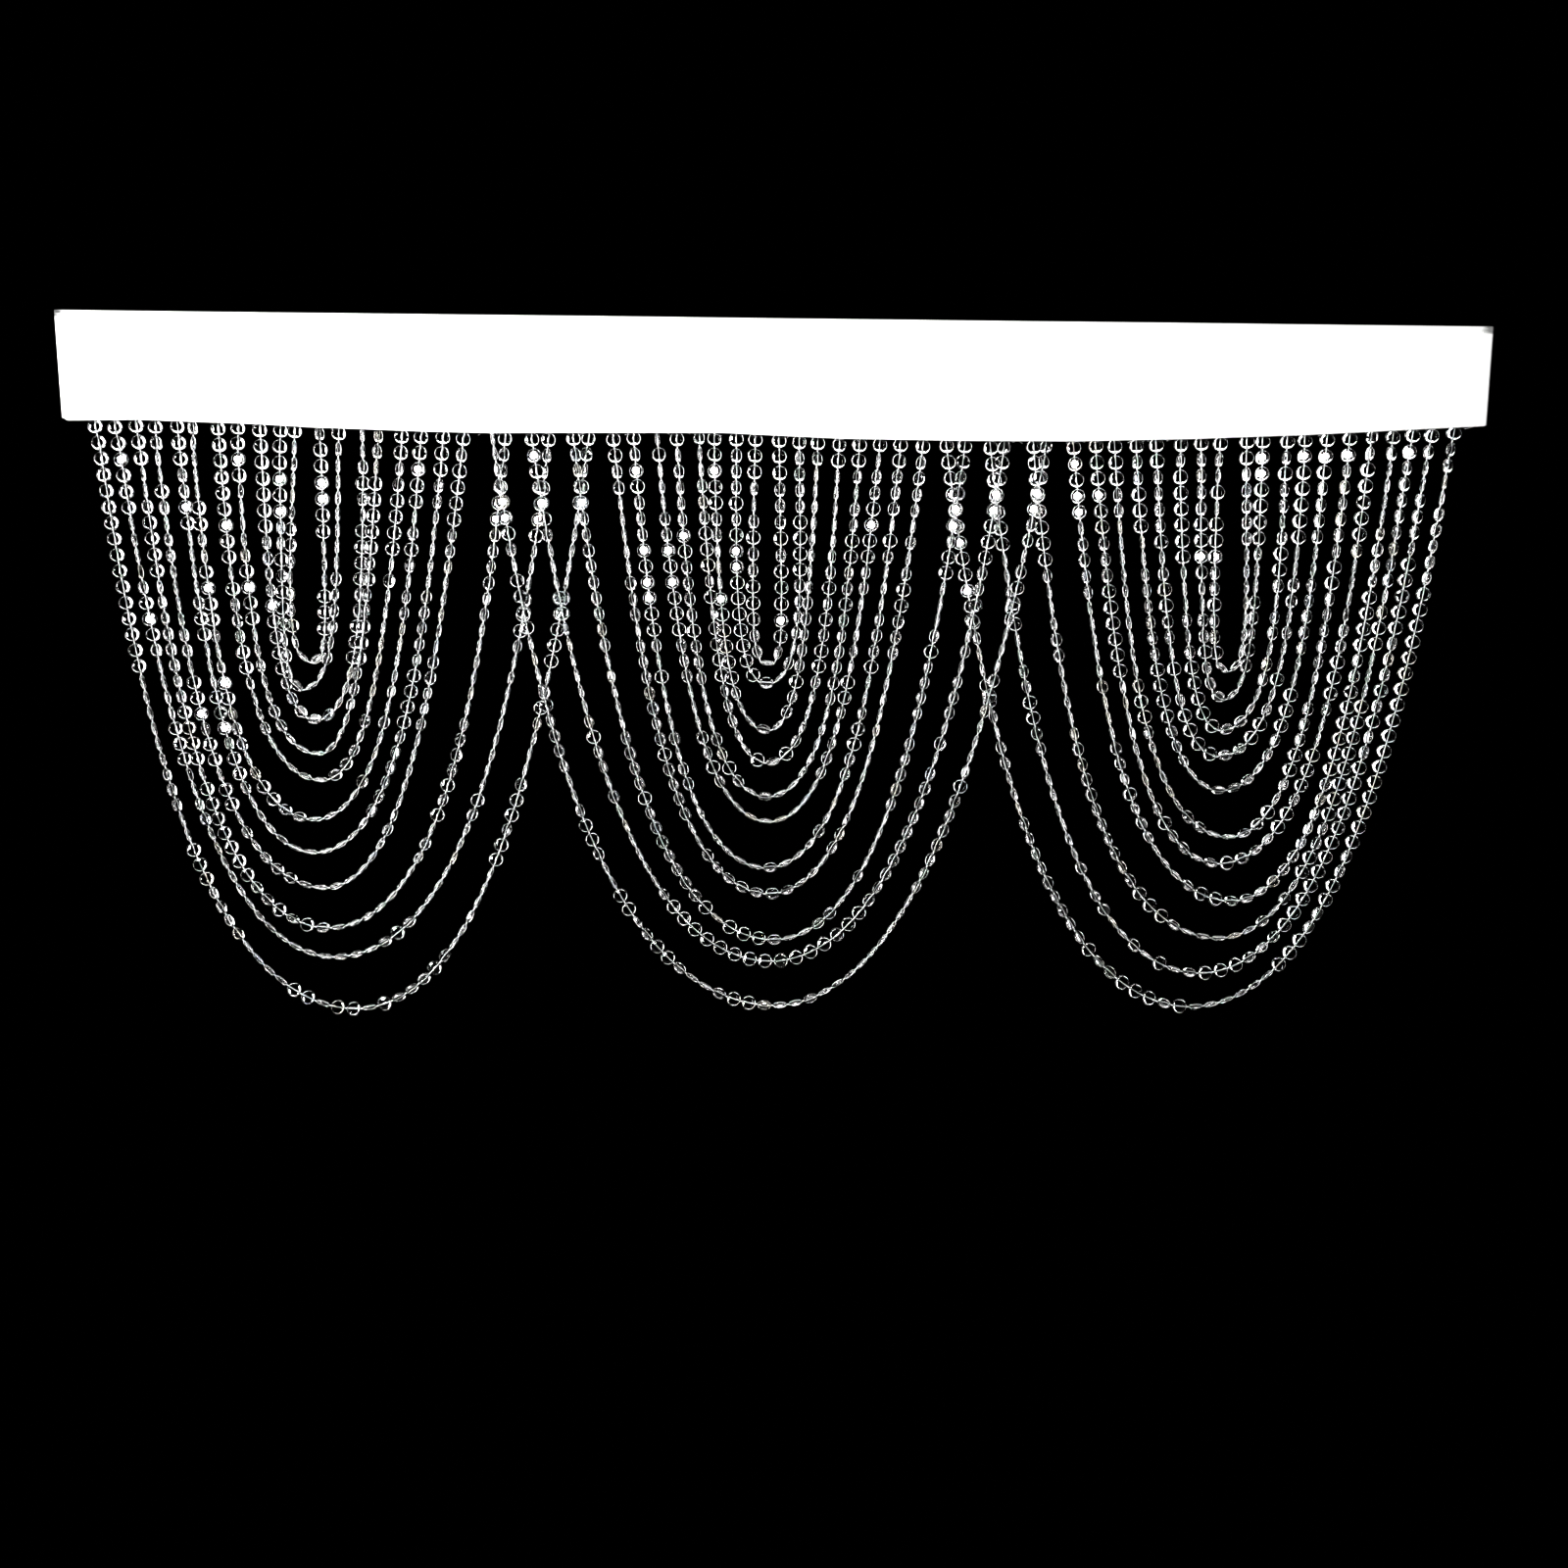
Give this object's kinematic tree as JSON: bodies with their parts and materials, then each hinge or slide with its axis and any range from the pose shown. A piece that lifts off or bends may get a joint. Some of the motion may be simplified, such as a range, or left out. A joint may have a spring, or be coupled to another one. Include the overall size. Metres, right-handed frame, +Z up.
{
  "type": "beaded valance",
  "caption": "Short hanging valance: a plain white cloth heading band with overlapping swags of clear faceted bead strings looped below it.",
  "frame": {"origin": "middle of the heading band's straight top edge, halfway through the cloth's thickness", "axes": "+X along the band to the viewer's right, -Y is the front that faces the room, +Z up"},
  "size_m": [1, 0.0115, 0.4944],
  "materials": {
    "band_cloth": "white plain-woven cloth, matt",
    "clear_beads": "clear colourless faceted acrylic, polished"
  },
  "bodies": {
    "root": {"heading_band": "band_cloth", "bead_strings": "clear_beads"}
  },
  "joints": []
}
